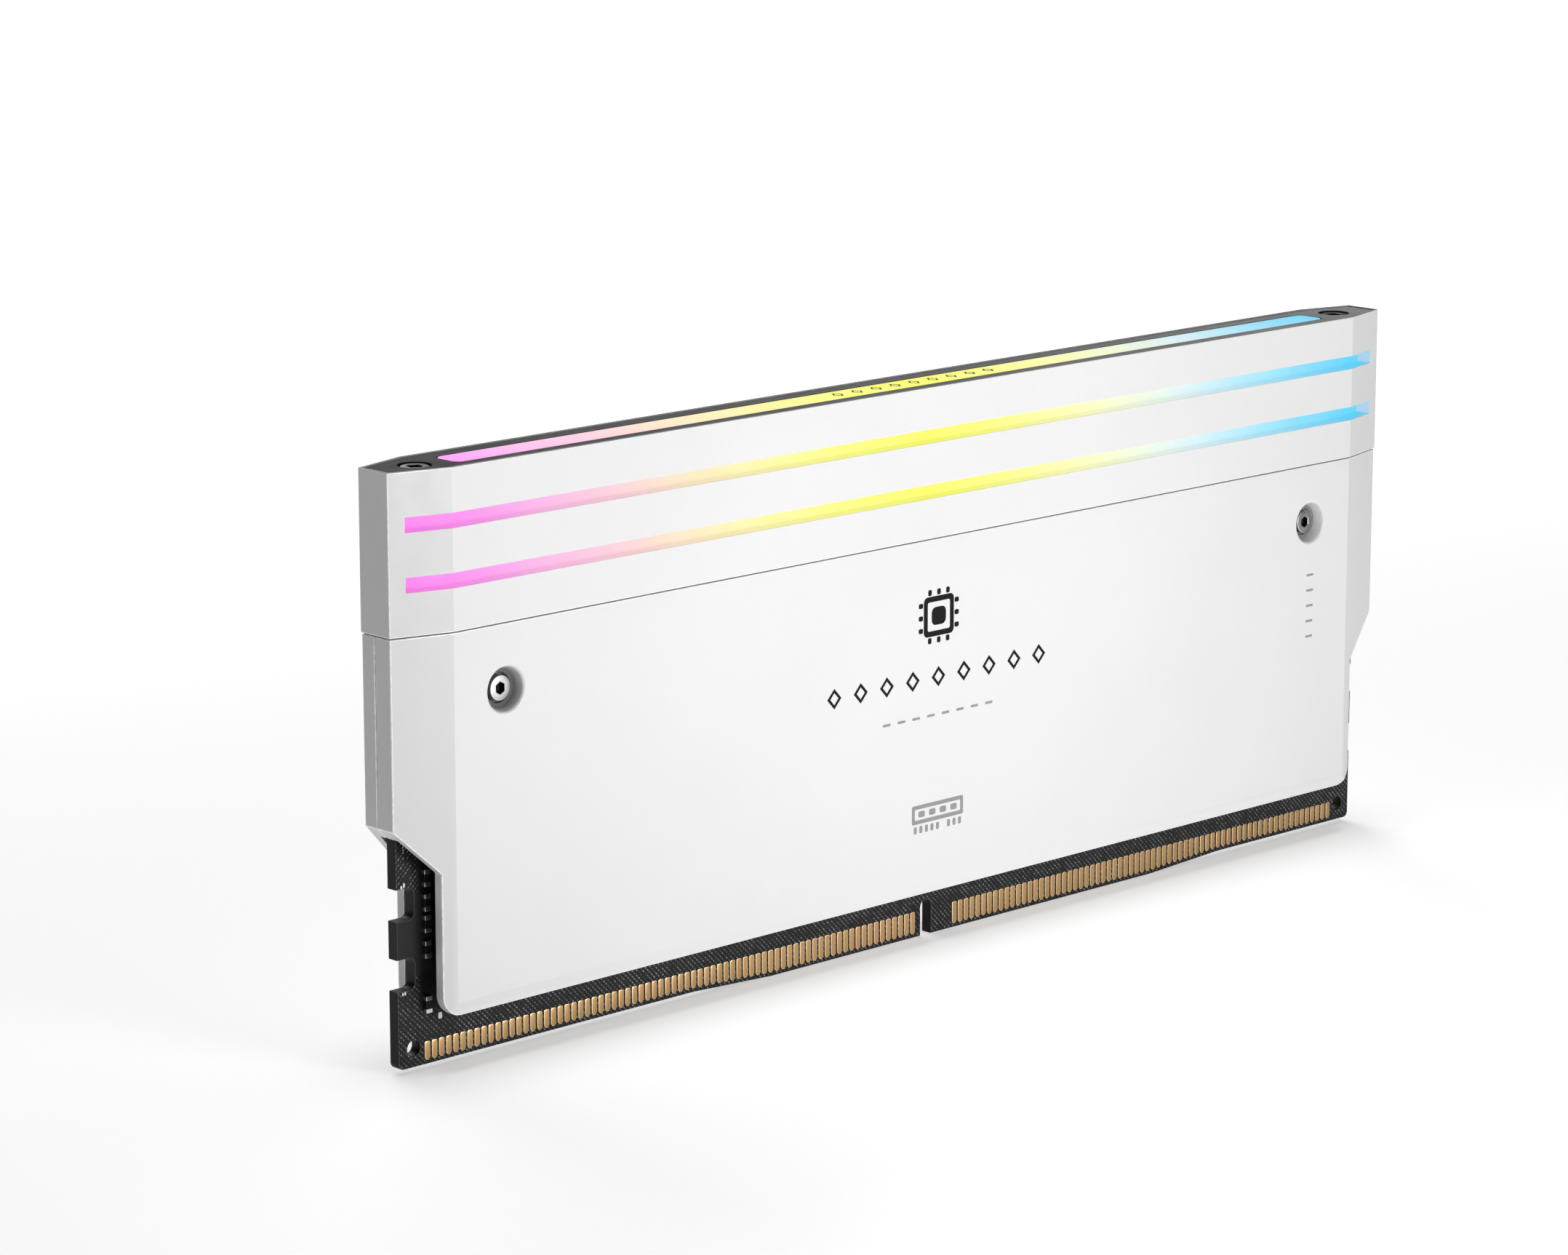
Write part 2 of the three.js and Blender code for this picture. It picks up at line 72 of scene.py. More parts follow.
# Mesh building
WELD = 0.001
FLAT_TURN = 0.4  # CAD facets that turn less than this become one face
SHARP_TURN = 32  # an edge that turns more than this is shaded crisp
FOLD_TURN = 8  # and so is a fold that turns more than this, if it is long
LONG_FOLD = 3.5
ON_FACE = 0.02  # a point this near to a face counts as on it
CORNER_STEPS = 3
RING_STEPS = 48
SQUARE = 0.99  # a normal's part along an axis that it points straight along

# Spreaders and their screw recesses
SHELL_BEVEL = 0.1
RECESS_BEVEL = 0.22
RECESS_RADIUS = 2.17
RECESS_REACH = 3  # edges this near to a screw's middle belong to its recess
RECESS_DEPTH = 1.1
RECESS_LIP = 0.2  # the recess's painted shade starts this far in from the front face
FLOOR_FACING = 0.9

# Light bar: the heights of its side slots, how far they reach along X, and
# where the edges that are rounded lie
SLOTS = ((45.04, 46.42), (50.5, 51.87))
SLOT_END = 66.49
BAR_SIDE = 3.5
BAR_END = 67.9
BAR_RIM = (2.3, 3.2)
BAR_BEVEL = 0.08
SLOT_BEVEL = 0.04
PLATE_BEVEL = 0.12
SLOT_MARGIN = 0.1
RIM_DEPTH = 0.06
RIM_FACING = 0.3
SEAT_RADIUS = 1.59  # the bar screws' seats in the top plate

# Screws: the head's radius and height, the hexagon's depth and width across
# its flats, and the shaft's radius
CASING_SCREW = {"radius": 1.18, "height": 0.8, "depth": 0.62, "across": 1.04, "shaft": 0.7}
BAR_SCREW = {"radius": 1.34, "height": 0.6, "depth": 0.42, "across": 1.4, "shaft": 0.8}
HEX_LIP = 0.05
HEAD_FOOT = 0.05  # the chamfer at the head's underside
HEAD_CROWN = ((0, 0.09), (0.03, 0.03), (0.09, 0))  # in from the rim, below the face
NECK = 0.12  # the plain shaft under the head
DRILL_POINT = 0.12  # the hollow's last bit, below its walls
DRILL_SHARE = 0.2
TIP_SHARE = 0.7
THREAD_PITCH = 0.25
THREAD_DEPTH = 0.08
THREAD_CREST = 0.08  # from the start of a turn up to its crest
THREAD_FOOT = 0.2  # and up to its foot
METAL_PART, HOLLOW_PART = 0, 1

# Contact fingers
FINGER_PITCH = 0.85
FINGER_WIDTH = 0.63
FINGER_THICKNESS = 0.05
FINGER_CHAMFER = 0.05
FINGER_TOP = 2.65
FINGER_LIFT = 0.4  # from the board's lower edge to the finger's lower end
FINGER_FOOT = ((0.14, 0), (0.12, 0.1), (0.03, 0.17), (0, 0.26))  # in from the side, up
FINGER_HEAD = ((0, 0.16), (0.04, 0.06), (0.13, 0))  # in from the side, down
EDGE_STEP = 0.5  # how far the board's lower edge rises over each ramp
LEFT_RAMP = (-19.8, -30.2)
RIGHT_RAMP = (34.8, 45.3)

# Board: its edges, its glass weave and where the weave doesn't show
BOARD_BEVEL = 0.06
THREADS_PER_MM = 1.8
ROW_SHARPNESS = 5.5
DASH_SHARPNESS = 2
DASH_CONTRAST = 0.85
WEAVE_TURN = 14  # above this height the rows of dashes lean the other way
TAB_START = 62.6
TAB_HEIGHTS = (9.6, 16.4)
PART_ROW = (-64, 0)
PART_ROW_FOOT = 5.6

# Chip resistors
CAP_LENGTH = 0.42
CHIP_STEP = 0.04  # how far the ceramic lies inside its end caps
CHIP_SINK = 0.05  # and how far its face lies behind theirs
CHIP_CORNER = 0.03

# Printed marks: heights, steps and sizes on their faces. A frame has an outer
# and an inner width, height and corner radius, and a diamond two half sizes.
PRINT_SUNK = 0.004
PRINT_PROUD = 0.012
PRINT_CHAMFER = 0.004
PRINT_ROUNDING = 0.3  # a bar's corner radius, as a share of its narrow side
CHIP_MARK_Z = 33.25
CHIP_FRAME = ((4.2, 4.0, 0.5), (3.1, 2.9, 0.2))
CHIP_CORE = (2.0, 1.8)
CHIP_PIN_STEP = 1.25
CHIP_PIN_REACH = (2.5, 2.4)
CHIP_PIN = (0.5, 0.6)
DIAMOND_ROW_Z = 27.15
DIAMOND_STEP = 3.58
DIAMOND = ((0.95, 1.02), (0.55, 0.6))
LENS_DIAMOND_STEP = 2.6
LENS_DIAMOND = ((0.62, 0.8), (0.4, 0.54))
DASH_ROW_Z = 23.35
DASH_STEP = 2.05
DASH = (1.05, 0.26)
COLUMN_START = (56.0, 29.2)
COLUMN_STEP = 1.65
COLUMN_DASH = (1.1, 0.24)
MODULE_MARK_Z = 13.6
MODULE_FRAME = ((7.2, 1.9, 0.2), (6.4, 1.1, 0.1))
MODULE_CHIP_STEP = 1.5
MODULE_CHIP = (0.9, 0.62)
MODULE_PINS_Z = 12.05
MODULE_PIN_STEP = 0.78
MODULE_PIN = (0.42, 0.72)
MODULE_PIN_GAP = 1

# Board legend, each mark as X, Z, width and height
LEGEND_PROUD = 0.02
LEGEND_CHAMFER = 0.01
LEGEND_CORNER = 0.05
LEGEND_MARKS = (
    (-66.08, 17.62, 0.2, 0.3),
    (-65.78, 17.78, 0.2, 0.42),
    (-61.75, 4.78, 0.42, 0.6),
    (-66.1, 7.62, 0.18, 0.3),
    (-65.82, 7.66, 0.18, 0.3),
    (-65.82, 20.82, 0.13, 0.13),
    (-65.82, 21.06, 0.13, 0.13),
    (-65.82, 21.29, 0.13, 0.13),
)

# The middle of a noise's range, where nearly all of its values lie
NOISE_RANGE = (0.3, 0.7)

# A colour Mix node's sockets for its two colours and its result
MIX_COLOURS = slice(6, 8)
MIX_RESULT = 2

# Plating colours of the fingers, one picked for each finger
GOLD_TINTS = (
    (0.0, (182, 140, 96)),
    (0.5, (176, 140, 94)),
    (1.0, (170, 140, 94)),
)

# Light colours along the bar, as X and sRGB
LIGHT_RAMP = (
    (-66, (255, 128, 236)),
    (-58, (253, 152, 238)),
    (-50, (253, 186, 231)),
    (-42, (252, 206, 220)),
    (-33, (254, 231, 201)),
    (-24, (254, 246, 178)),
    (-13, (253, 254, 142)),
    (0, (253, 254, 114)),
    (11, (254, 255, 146)),
    (22, (253, 254, 193)),
    (31, (240, 250, 228)),
    (38, (222, 244, 248)),
    (46, (186, 236, 252)),
    (55, (144, 223, 252)),
    (64, (100, 214, 252)),
)

# Stage, in metres, watts and degrees
FLOOR_RADIUS = 3
FLOOR_STEPS = 96
FLOOR_GLOW_REACH = (60, 800)  # millimetres from the module's middle
FLOOR_GLOW = (0.42, 0.75)
HORIZON = ((0.03, 0.9), (0.12, 0.03))  # height in the sky and tone there
SUN_STRENGTH = 1.31
SUN_SPREAD = 20
AIM = (0, 0, 0.032)
KEY_SPREAD = 150
CAMERA_PLACE = (-0.34939, -0.34383, 0.13872)
CAMERA_LENS = 117.09
CAMERA_SENSOR = 36
CAMERA_PITCH = 12.346
CAMERA_YAW = 43.982
CAMERA_CLIP = (0.01, 10)


# Colours and small sums


def linear(value):
    """One sRGB channel from 0 to 255 as scene-linear light."""
    share = value / 255
    return share / 12.92 if share <= 0.04045 else ((share + 0.055) / 1.055) ** 2.4


def srgb(red, green, blue):
    return (linear(red), linear(green), linear(blue), 1)


def grey(value):
    return srgb(value, value, value)


def middle(node):
    """The middle of a CAD node's box, in millimetres."""
    low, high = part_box(node)
    return (low + high) / 2 / MM


# Materials


class Shader:
    """One procedural material: a Principled shader and the nodes that feed it."""

    def __init__(self, name, **constants):
        self.material = bpy.data.materials.new(name)
        self.material.use_nodes = True
        self.tree = self.material.node_tree
        self.surface = self.tree.nodes["Principled BSDF"]
        for socket, value in constants.items():
            self.surface.inputs[socket.replace("_", " ")].default_value = value
        self.place = self.node("ShaderNodeTexCoord").outputs["Object"]

    def node(self, kind, **settings):
        node = self.tree.nodes.new(kind)
        for setting, value in settings.items():
            setattr(node, setting, value)
        return node

    def put(self, socket, value):
        if isinstance(value, bpy.types.NodeSocket):
            self.tree.links.new(value, socket)
        else:
            socket.default_value = value

    def math(self, operation, *values, clamp=False):
        node = self.node("ShaderNodeMath", operation=operation, use_clamp=clamp)
        for socket, value in zip(node.inputs, values):
            self.put(socket, value)
        return node.outputs[0]

    def part(self, vector, axis):
        """The X, Y or Z of a vector."""
        node = self.node("ShaderNodeSeparateXYZ")
        self.put(node.inputs[0], vector)
        return node.outputs[axis]

    def along(self, axis):
        """The object's X, Y or Z in millimetres."""
        return self.math("MULTIPLY", self.part(self.place, axis), 1 / MM)

    def facing(self, axis):
        """How squarely the surface faces along one of the object's axes, either way."""
        normal = self.node("ShaderNodeTexCoord").outputs["Normal"]
        return self.math("ABSOLUTE", self.part(normal, axis))

    def edge(self):
        """1 on the narrow faces of a rounded edge, 0 elsewhere: the materials paint their edge
        highlights, shadow lines and wear there.
        """
        return self.node("ShaderNodeAttribute", attribute_name="edge").outputs["Fac"]

    def stretched(self, x, y, z):
        node = self.node("ShaderNodeVectorMath", operation="MULTIPLY")
        self.put(node.inputs[0], self.place)
        node.inputs[1].default_value = (x, y, z)
        return node.outputs[0]

    def noise(self, size, detail, place=None):
        """Soft noise whose blotches are about size millimetres across."""
        node = self.node("ShaderNodeTexNoise")
        node.inputs["Scale"].default_value = 1 / (size * MM)
        node.inputs["Detail"].default_value = detail
        self.put(node.inputs["Vector"], place or self.place)
        return node.outputs["Fac"]

    def speckle(self, u, v):
        """A steady random number for each whole step of u and v."""
        cell = self.node("ShaderNodeCombineXYZ")
        self.put(cell.inputs[0], self.math("ROUND", u))
        self.put(cell.inputs[1], self.math("ROUND", v))
        node = self.node("ShaderNodeTexWhiteNoise", noise_dimensions="3D")
        self.put(node.inputs["Vector"], cell.outputs[0])
        return node.outputs["Value"]

    def wave(self, turns):
        """From 0 to 1 and back once for each whole turn, 1 at whole numbers."""
        angle = self.math("MULTIPLY", turns, 2 * math.pi)
        return self.math("MULTIPLY_ADD", self.math("COSINE", angle), 0.5, 0.5)

    def ease(self, value, low, high, to_low=0.0, to_high=1.0):
        """From to_low to to_high, softly, while value goes from low to high."""
        node = self.node("ShaderNodeMapRange", interpolation_type="SMOOTHSTEP")
        self.put(node.inputs["Value"], value)
        for socket, number in zip(node.inputs[1:5], (low, high, to_low, to_high)):
            socket.default_value = number
        return node.outputs[0]

    def between(self, value, low, high, soft):
        """1 where value lies between low and high, falling to 0 over soft beyond them."""
        rise = self.ease(value, low - soft, low)
        fall = self.ease(value, high, high + soft)
        return self.math("SUBTRACT", rise, fall, clamp=True)

    def drift(self, noise, to_low, to_high):
        """A number that wanders from to_low to to_high with a noise."""
        return self.ease(noise, *NOISE_RANGE, to_low, to_high)

    def ramp(self, factor, stops):
        node = self.node("ShaderNodeValToRGB")
        elements = node.color_ramp.elements
        for element, (position, colour) in zip(elements, (stops[0], stops[-1])):
            element.position, element.color = position, colour
        for position, colour in stops[1:-1]:
            elements.new(position).color = colour
        self.put(node.inputs[0], factor)
        return node.outputs[0]

    def mottle(self, noise, low, high):
        """A colour that wanders from low to high with a noise."""
        return self.ramp(noise, list(zip(NOISE_RANGE, (low, high))))

    def mix(self, factor, first, second, blend="MIX"):
        node = self.node("ShaderNodeMix", data_type="RGBA", blend_type=blend)
        self.put(node.inputs[0], factor)
        for socket, value in zip(node.inputs[MIX_COLOURS], (first, second)):
            self.put(socket, value)
        return node.outputs[MIX_RESULT]

    def finish(self, colour, roughness, height, strength, depth):
        """Links the colour and roughness, and a bump depth millimetres deep."""
        self.put(self.surface.inputs["Base Color"], colour)
        self.put(self.surface.inputs["Roughness"], roughness)
        bump = self.node("ShaderNodeBump")
        bump.inputs["Strength"].default_value = strength
        bump.inputs["Distance"].default_value = depth * MM
        self.put(bump.inputs["Height"], height)
        self.put(self.surface.inputs["Normal"], bump.outputs[0])
        return self.material


def coating(name, tones, roughness, grain, strength, bare=0.0, side=0.0, **constants):
    """Powder coat or anodising: a slow drift of tone, a fine grain, and edges painted paler as a
    highlight, with some wear.

    tones are the greys of the coat, darkest and palest, and of its edges, the painted edge
    highlight. bare is how much metal shows on those edges, and side how much painted shade
    darkens the coat on the faces turned towards the ends.
    """
    shader = Shader(name, **constants)
    low, high, edge = (grey(tone) for tone in tones)
    tone = shader.mottle(shader.noise(size=30, detail=3), low, high)
    # Painted highlight: the rounded edges take the paler edge tone, broken up by a noise as wear.
    edge_shading_and_wear = shader.ease(shader.noise(size=0.5, detail=4), 0.35, 0.6, to_low=0.55)
    edge_highlight_and_wear = shader.math("MULTIPLY", shader.edge(), edge_shading_and_wear)
    # Painted shade: the faces turned towards the ends are darkened by side.
    if side:
        end_shade_mask = shader.ease(shader.facing("X"), 0.04, 0.25)
        tone = shader.mix(shader.math("MULTIPLY", end_shade_mask, side), tone, grey(0))
    if bare:
        shader.put(shader.surface.inputs["Metallic"], shader.math("MULTIPLY", edge_highlight_and_wear, bare))
    colour = shader.mix(edge_highlight_and_wear, tone, edge)
    fine = shader.noise(grain, detail=3)
    sheen = shader.drift(shader.noise(size=2.5, detail=4), roughness - 0.04, roughness + 0.05)
    return shader.finish(colour, sheen, fine, strength, depth=0.01)


def moulded(name, low, high, roughness, grain, strength=0.25, **constants):
    """A plain moulded, cast or printed surface with mottling and grain."""
    shader = Shader(name, **constants)
    colour = shader.mottle(shader.noise(grain * 6, detail=4), low, high)
    fine = shader.noise(grain, detail=4)
    sheen = shader.drift(fine, roughness - 0.06, roughness + 0.06)
    return shader.finish(colour, sheen, fine, strength, depth=0.02)


def metal(name, tones, roughness, brush):
    """Turned or brushed metal with faint streaks and a painted highlight on its edges.

    brush says how much finer the streaks are along each axis.
    """
    shader = Shader(name, Metallic=1.0)
    low, high = (grey(tone) for tone in tones)
    streaks = shader.noise(0.12, 4, shader.stretched(*brush))
    # Painted highlight: the edges are painted halfway from the palest tone to white.
    painted_edge_highlight = shader.mix(0.5, high, (1, 1, 1, 1))
    colour = shader.mix(shader.edge(), shader.mottle(streaks, low, high), painted_edge_highlight)
    sheen = shader.drift(streaks, roughness + 0.05, roughness - 0.05)
    return shader.finish(colour, sheen, streaks, strength=0.12, depth=0.006)


def weave(shader, x, z):
    """The board's glass weave: diagonal rows of dashes, some paler than others."""
    falling = shader.math("MULTIPLY", shader.math("ADD", x, z), THREADS_PER_MM)
    rising = shader.math("MULTIPLY", shader.math("SUBTRACT", x, z), THREADS_PER_MM)
    upper = shader.math("GREATER_THAN", z, WEAVE_TURN)
    swap = shader.math("SUBTRACT", rising, falling)
    rows = shader.math("MULTIPLY_ADD", upper, swap, falling)
    crossings = shader.math("SUBTRACT", shader.math("ADD", rising, falling), rows)
    row = shader.math("POWER", shader.wave(rows), ROW_SHARPNESS)
    dash = shader.math("POWER", shader.wave(crossings), DASH_SHARPNESS)
    broken = shader.math("MULTIPLY_ADD", dash, DASH_CONTRAST, 1 - DASH_CONTRAST)
    thread = shader.math("MULTIPLY", row, broken)
    uneven = shader.math("ADD", shader.speckle(rows, crossings), 0.15)
    return thread, uneven


def board_mask():
    """Black solder mask with the glass weave showing through as rows of pale dashes."""
    shader = Shader("board_mask_weave", Specular_IOR_Level=0.15)
    x, z = shader.along("X"), shader.along("Z")
    thread, uneven = weave(shader, x, z)
    patchy = shader.ease(shader.noise(size=2.2, detail=3), 0.3, 0.62, to_low=0.4)
    face = shader.ease(shader.facing("Y"), 0.7, 0.95)
    strength = shader.math("MULTIPLY", shader.math("MULTIPLY", uneven, patchy), face)
    # Painted shade: the weave is left out on the end tabs and along the part row, where the
    # spreader's shadow hides it. The tabs get a plain, paler ground.
    outside = shader.math("GREATER_THAN", shader.math("ABSOLUTE", x), TAB_START)
    tab = shader.math("MULTIPLY", outside, shader.between(z, *TAB_HEIGHTS, soft=0.9))
    raised = shader.math("GREATER_THAN", z, PART_ROW_FOOT)
    part_row = shader.math("MULTIPLY", shader.between(x, *PART_ROW, soft=0.4), raised)
    woven = shader.math("SUBTRACT", 1.0, shader.math("MAXIMUM", tab, part_row))
    mask = shader.math("MULTIPLY", shader.math("MULTIPLY", thread, strength), woven, clamp=True)
    plain = shader.mottle(shader.noise(size=4, detail=3), grey(15), grey(21))
    ground = shader.mix(shader.math("MULTIPLY", tab, 0.6), plain, grey(36))
    # Painted highlight: the board's rounded edges are painted paler grey.
    wear_and_highlight = shader.mix(shader.math("MULTIPLY", shader.edge(), 0.35), ground, grey(96))
    colour = shader.mix(mask, wear_and_highlight, srgb(146, 148, 150))
    sheen = shader.ease(mask, 0, 1, to_low=0.5, to_high=0.36)
    return shader.finish(colour, sheen, thread, strength=0.25, depth=0.02)


def contact_gold():
    """Plated fingers, each a little warmer or cooler than the next, scuffed by insertion."""
    shader = Shader("contact_gold_plating", Metallic=0.85, Specular_IOR_Level=0.5)
    from_first = shader.math("SUBTRACT", shader.along("X"), middle("contacts_front_left").x)
    tint = shader.speckle(shader.math("DIVIDE", from_first, FINGER_PITCH), 0.0)
    plate = shader.ramp(tint, [(stop, srgb(*colour)) for stop, colour in GOLD_TINTS])
    scuffs = shader.noise(0.16, 4, shader.stretched(1, 1, 0.12))
    wear_and_highlight = shader.mix(shader.ease(scuffs, 0.35, 0.75, 0, 0.3), plate, srgb(206, 170, 120))
    # Painted highlight: the fingers' chamfered edges are painted pale gold over the scuffed
    # plating.
    colour = shader.mix(shader.math("MULTIPLY", shader.edge(), 0.9), wear_and_highlight, srgb(236, 208, 162))
    sheen = shader.drift(scuffs, 0.5, 0.36)
    return shader.finish(colour, sheen, scuffs, strength=0.15, depth=0.01)


def bar_light(shader):
    """The colour of the bar's light where the surface lies."""
    first, last = LIGHT_RAMP[0][0], LIGHT_RAMP[-1][0]
    span = last - first
    from_first = shader.math("SUBTRACT", shader.along("X"), first)
    share = shader.math("DIVIDE", from_first, span, clamp=True)
    return shader.ramp(share, [((at - first) / span, srgb(*colour)) for at, colour in LIGHT_RAMP])


def light_diffuser(name):
    """Frosted acrylic lit from within, its colour running along the bar."""
    shader = Shader(name, Emission_Strength=0.92, Specular_IOR_Level=0.2)
    light = bar_light(shader)
    frost = shader.noise(size=0.2, detail=4)
    cloudy = shader.drift(shader.noise(size=3, detail=3), 0.96, 1)
    veil = shader.ramp(cloudy, [(0, grey(0)), (1, grey(255))])
    glow = shader.mix(1.0, light, veil, "MULTIPLY")
    shader.put(shader.surface.inputs["Emission Color"], glow)
    skin = shader.mix(0.08, grey(0), light)
    sheen = shader.drift(frost, 0.36, 0.48)
    return shader.finish(skin, sheen, frost, strength=0.08, depth=0.01)


def anodised_plate():
    """Grey anodising with painted light, darker at the left end and paler towards the right, and
    a painted shadow line at its edges.
    """
    shader = Shader("grey_anodised_plate", Specular_IOR_Level=0.06)
    half_length = CAD_BOX[1].x / MM
    # Painted light: the tone runs from dark at the left end to pale at the right.
    share = shader.math("MULTIPLY_ADD", shader.along("X"), 0.5 / half_length, 0.5)
    tone = shader.ramp(share, [(0, grey(44)), (1, grey(158))])
    clouds = shader.mottle(shader.noise(size=9, detail=3), grey(232), grey(255))
    clouded = shader.mix(1.0, tone, clouds, "MULTIPLY")
    # Painted shadow: the rounded edges take a dark line, the shade in the seams around the plate.
    colour = shader.mix(shader.edge(), clouded, grey(34))
    sheen = shader.drift(shader.noise(size=2.5, detail=4), 0.5, 0.6)
    return shader.finish(colour, sheen, shader.noise(0.1, 3), strength=0.2, depth=0.01)


def recess_painted_shade(name, left, right):
    """The surface of a screw recess in painted shade, dark at its bottom and paler at its mouth,
    and darker at the left end than at the right.

    left and right are the two tones, bottom and mouth, at the module's two ends.
    """
    shader = Shader(name, Specular_IOR_Level=0.2)
    mouth = shader.ease(shader.along("Y"), RECESS_DEPTH - FRONT_FACE, -FRONT_FACE)
    ends = [shader.ramp(mouth, [(0, grey(low)), (1, grey(high))]) for low, high in (left, right)]
    tone = shader.mix(shader.ease(shader.along("X"), -50, 50), *ends)
    cut = shader.noise(size=0.12, detail=3)
    colour = shader.mix(shader.ease(cut, 0.4, 0.8, 0, 0.15), tone, grey(40))
    sheen = shader.drift(shader.noise(size=1, detail=3), 0.42, 0.52)
    return shader.finish(colour, sheen, cut, strength=0.2, depth=0.01)


def lit_slot():
    """The slots' coated walls, dark grey with the light that spills from beside them painted on
    as a glow, paler at their ends.
    """
    shader = Shader("lit_slot_coating", Emission_Strength=0.8, Specular_IOR_Level=0.2)
    end = shader.math("MULTIPLY", shader.facing("X"), 0.5)
    painted_spill_glow = shader.mix(end, bar_light(shader), srgb(236, 236, 255))
    # Painted glow: the bar's light is painted on the walls as emission, paler on the end walls.
    shader.put(shader.surface.inputs["Emission Color"], painted_spill_glow)
    tone = shader.mottle(shader.noise(size=12, detail=3), grey(56), grey(64))
    sheen = shader.drift(shader.noise(size=2.5, detail=4), 0.5, 0.6)
    return shader.finish(tone, sheen, shader.noise(0.12, 3), strength=0.12, depth=0.01)


# The white coat's edge tone is a painted highlight, and side paints shade on the faces turned
# towards the ends.
WHITE = coating("white_powder_coat", (202, 206, 240), 0.42, 0.12, 0.12, bare=0.4, side=0.11)
# The white coat painted grey as shade, for the upward faces at the top of the bar.
RIM_PAINTED_SHADE = coating("bar_rim_painted_shade", (140, 150, 164), 0.5, 0.12, 0.15, Specular_IOR_Level=0.2)
SCREW_GREY = coating("dark_screw_finish", (82, 94, 120), 0.45, 0.1, 0.15)
# The recess wall and floor in painted shade, darker deep down and at the left end.
RECESS_PAINTED_SHADE = recess_painted_shade("recess_wall_painted_shade", (132, 182), (180, 196))
RECESS_FLOOR_PAINTED_SHADE = recess_painted_shade("recess_floor_painted_shade", (86, 86), (116, 116))
SLOT_WALL = lit_slot()
PLATE = anodised_plate()
DIFFUSER = light_diffuser("lit_acrylic")
BOARD = board_mask()
GOLD = contact_gold()
STEEL = metal("screw_steel", (166, 176), 0.5, (1, 8, 1))
STEEL_PAINTED_SHADE = metal("screw_steel_painted_shade", (130, 146), 0.36, (1, 8, 1))
TIN = metal("solder_tin", (186, 214), 0.34, (6, 1, 1))
TIN_PAINTED_SHADE = metal("solder_tin_painted_shade", (136, 166), 0.4, (6, 1, 1))
ALUMINIUM = metal("bare_aluminium_rail", (170, 192), 0.34, (0.08, 1, 1))
SOCKET = moulded("screw_socket_shadow", grey(7), grey(12), 0.6, 0.06, Specular_IOR_Level=0.15)
CHIP = moulded("chip_epoxy", grey(26), grey(34), 0.55, 0.08)
CERAMIC = moulded("chip_ceramic", grey(14), grey(22), 0.5, 0.06, Specular_IOR_Level=0.2)
SILICONE = moulded("thermal_silicone", srgb(138, 144, 152), srgb(154, 160, 166), 0.8, 0.3, 0.5)
LED_BODY = moulded("led_resin", grey(222), srgb(244, 240, 214), 0.3, 0.1)
CONNECTOR = moulded("connector_nylon", grey(30), grey(40), 0.45, 0.1)
INK_BLACK = moulded("black_ink", grey(12), grey(20), 0.55, 0.06, 0.15, Specular_IOR_Level=0.1)
INK_GREY = moulded("grey_ink", grey(128), grey(138), 0.55, 0.06, 0.15, Specular_IOR_Level=0.2)
INK_WHITE = moulded("white_legend_ink", grey(196), grey(216), 0.6, 0.06, 0.15)


# Mesh building


def edge_layer(bm):
    """How strongly each face takes the painted edge highlight, shadow line and wear, from 0 on a
    plain face to 1 on a rounded edge.
    """
    return bm.faces.layers.float.get("edge") or bm.faces.layers.float.new("edge")


def mark_folds(bm):
    """Shades the mesh smooth, but crisp at its sharp turns and its long shallow folds.

    A fold is carried one edge on into the rounded strips at its ends, so that
    the shading of the two sides is parted there as well.
    """
    layer = edge_layer(bm)
    ends = set()
    for face in bm.faces:
        face.smooth = True
    for edge in bm.edges:
        turn = math.degrees(abs(edge.calc_face_angle(0)))
        plain = all(face[layer] == 0 for face in edge.link_faces)
        fold = plain and turn > FOLD_TURN and edge.calc_length() > LONG_FOLD * MM
        edge.smooth = turn < SHARP_TURN and not fold
        if fold:
            ends.update(edge.verts)
    for edge in bm.edges:
        rounded_strip = all(face[layer] > 0 for face in edge.link_faces)
        if rounded_strip and not ends.isdisjoint(edge.verts):
            edge.smooth = False


def add_piece(name, bm, materials, replaces=()):
    """Turns bm into a piece that rides on the module."""
    mesh = bpy.data.meshes.new(name)
    bmesh.ops.recalc_face_normals(bm, faces=bm.faces)
    mark_folds(bm)
    bm.to_mesh(mesh)
    bm.free()
    for material in materials:
        mesh.materials.append(material)
    piece = bpy.data.objects.new(name, mesh)
    SCENE.collection.objects.link(piece)
    weighted = piece.modifiers.new("weighted_normals", "WEIGHTED_NORMAL")
    weighted.keep_sharp = True
    weighted.weight = 100
    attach(piece, BODY)
    if replaces:
        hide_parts(*replaces)


def cad_copy(node):
    """A welded copy of a CAD node's mesh, with each flat region as one face."""
    bm = bmesh.new()
    bm.from_mesh(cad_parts[node].data)
    for layer in list(bm.loops.layers.uv.values()):
        bm.loops.layers.uv.remove(layer)
    bmesh.ops.remove_doubles(bm, verts=bm.verts, dist=WELD * MM)
    flat = math.radians(FLAT_TURN)
    bmesh.ops.dissolve_limit(bm, angle_limit=flat, verts=bm.verts, edges=bm.edges)
    return bm


